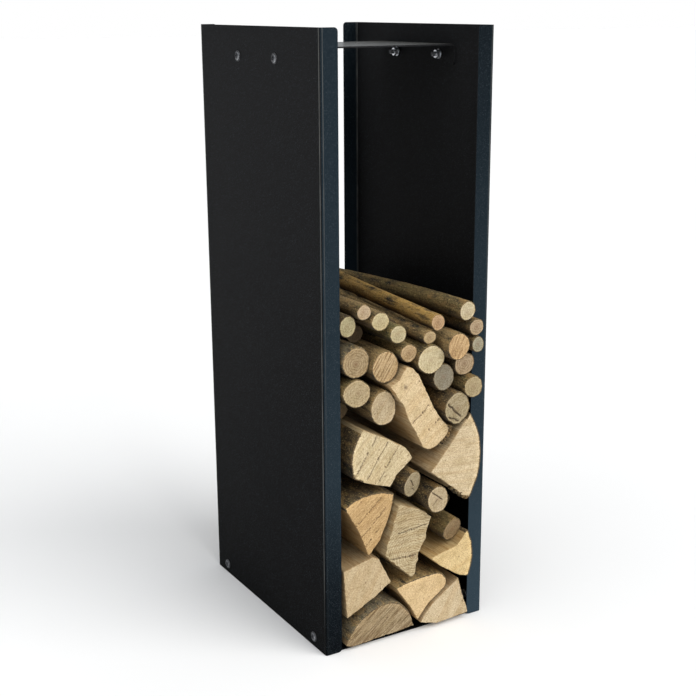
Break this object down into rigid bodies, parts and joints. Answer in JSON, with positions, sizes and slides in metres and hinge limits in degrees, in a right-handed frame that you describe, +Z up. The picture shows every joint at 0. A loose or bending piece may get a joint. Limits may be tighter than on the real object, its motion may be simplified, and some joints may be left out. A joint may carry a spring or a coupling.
{
  "type": "firewood log rack",
  "caption": "Tall narrow open-fronted firewood rack of two folded steel side panels joined by a bottom tray and a top tie plate, holding a stack of logs.",
  "frame": {"origin": "on the floor, under the middle of the rack's bottom tray", "axes": "+Z up, -Y out of the open front, +X to the right as seen from the front"},
  "size_m": [0.256, 0.362, 0.8],
  "materials": {
    "powder_coat": "fine-texture satin black powder coat",
    "black_bolt": "black oxide",
    "zinc": "bright zinc plate",
    "bark": "bark on the side, sawn end grain",
    "split_wood": "split and sawn hardwood, some bark"
  },
  "bodies": {
    "rack": {"left_side_panel": "powder_coat", "right_side_panel": "powder_coat", "base_tray": "powder_coat", "top_tie_plate": "powder_coat", "top_left_bolts": "black_bolt", "top_left_washers": "zinc", "top_left_nuts": "zinc", "top_right_bolts": "black_bolt", "top_right_washers": "zinc", "top_right_nuts": "zinc", "base_left_bolts": "black_bolt", "base_left_washers": "zinc", "base_left_nuts": "zinc", "base_right_bolts": "black_bolt", "base_right_washers": "zinc", "base_right_nuts": "zinc"},
    "top_branches": {"branch_upper_right": "bark", "branch_lower_right": "bark", "branch_thin_middle": "bark", "branch_middle": "bark", "branch_left": "bark", "branch_thin_left": "bark", "branch_behind_flange": "bark", "branch_inner_left": "bark", "branch_inner_middle": "bark", "branch_top_right": "bark", "branch_long_middle": "bark"},
    "round_logs": {"round_log_upper_right": "bark", "round_log_upper_left": "bark", "round_log_sawn": "bark", "round_log_small": "bark", "round_log_pale": "bark", "round_log_grey": "bark", "round_log_right": "bark", "round_log_lower_right": "bark", "round_log_left": "bark", "round_log_large": "bark", "round_log_cracked": "bark", "round_log_inner_left": "bark"},
    "split_logs": {"round_log_core_left": "bark", "round_log_core_right": "bark", "round_log_brown": "bark", "branch_inner_mid_left": "bark", "branch_inner_lower_right": "bark", "split_log_plank": "split_wood", "split_log_quarter_right": "split_wood", "split_log_block_left": "split_wood", "split_log_wedge_left": "split_wood", "split_log_core": "split_wood", "split_log_slice_right": "split_wood", "split_log_quad_left": "split_wood", "split_log_wedge_middle": "split_wood", "split_log_corner_right": "split_wood", "split_log_weathered": "split_wood"}
  },
  "joints": [
    {"name": "take_out_top_branches", "type": "slide", "parent": "rack", "child": "top_branches", "axis": [0, -1, 0], "range_m": [0, 0.38]},
    {"name": "take_out_round_logs", "type": "slide", "parent": "rack", "child": "round_logs", "axis": [0, -1, 0], "range_m": [0, 0.38]},
    {"name": "take_out_split_logs", "type": "slide", "parent": "rack", "child": "split_logs", "axis": [0, -1, 0], "range_m": [0, 0.38]}
  ]
}
